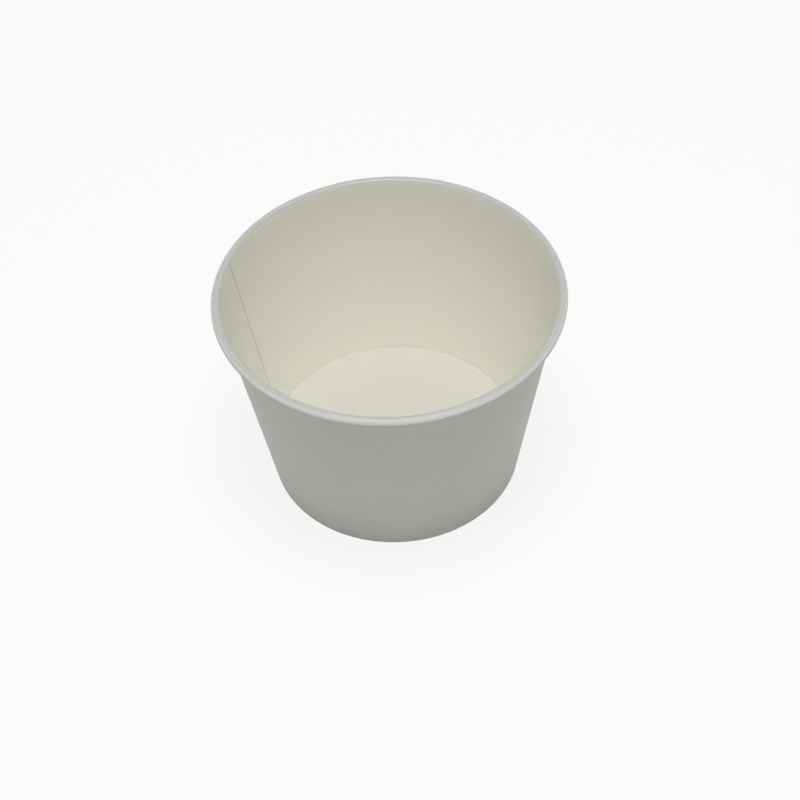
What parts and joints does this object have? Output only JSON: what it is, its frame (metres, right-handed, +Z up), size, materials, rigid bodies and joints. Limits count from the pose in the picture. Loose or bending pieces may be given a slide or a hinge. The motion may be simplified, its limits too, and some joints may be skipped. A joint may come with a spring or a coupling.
{
  "type": "paper food cup",
  "caption": "Round, tapered paper food cup with a rolled brim, a lapped side seam and a recessed floor sealed inside a folded foot.",
  "frame": {"origin": "centre of the foot, on the surface that the cup stands on", "axes": "+Z up along the cup's axis, towards the open brim; the side seam's inner raw edge runs at 162 degrees from +X towards +Y"},
  "size_m": [0.09, 0.09, 0.0603],
  "materials": {
    "wall_board": "smooth white paperboard with a thin satin film on the inside",
    "base_board": "smooth warm white paperboard with a thin satin film on top"
  },
  "bodies": {
    "root": {"side_wall": "wall_board", "base_disc": "base_board"}
  },
  "joints": []
}
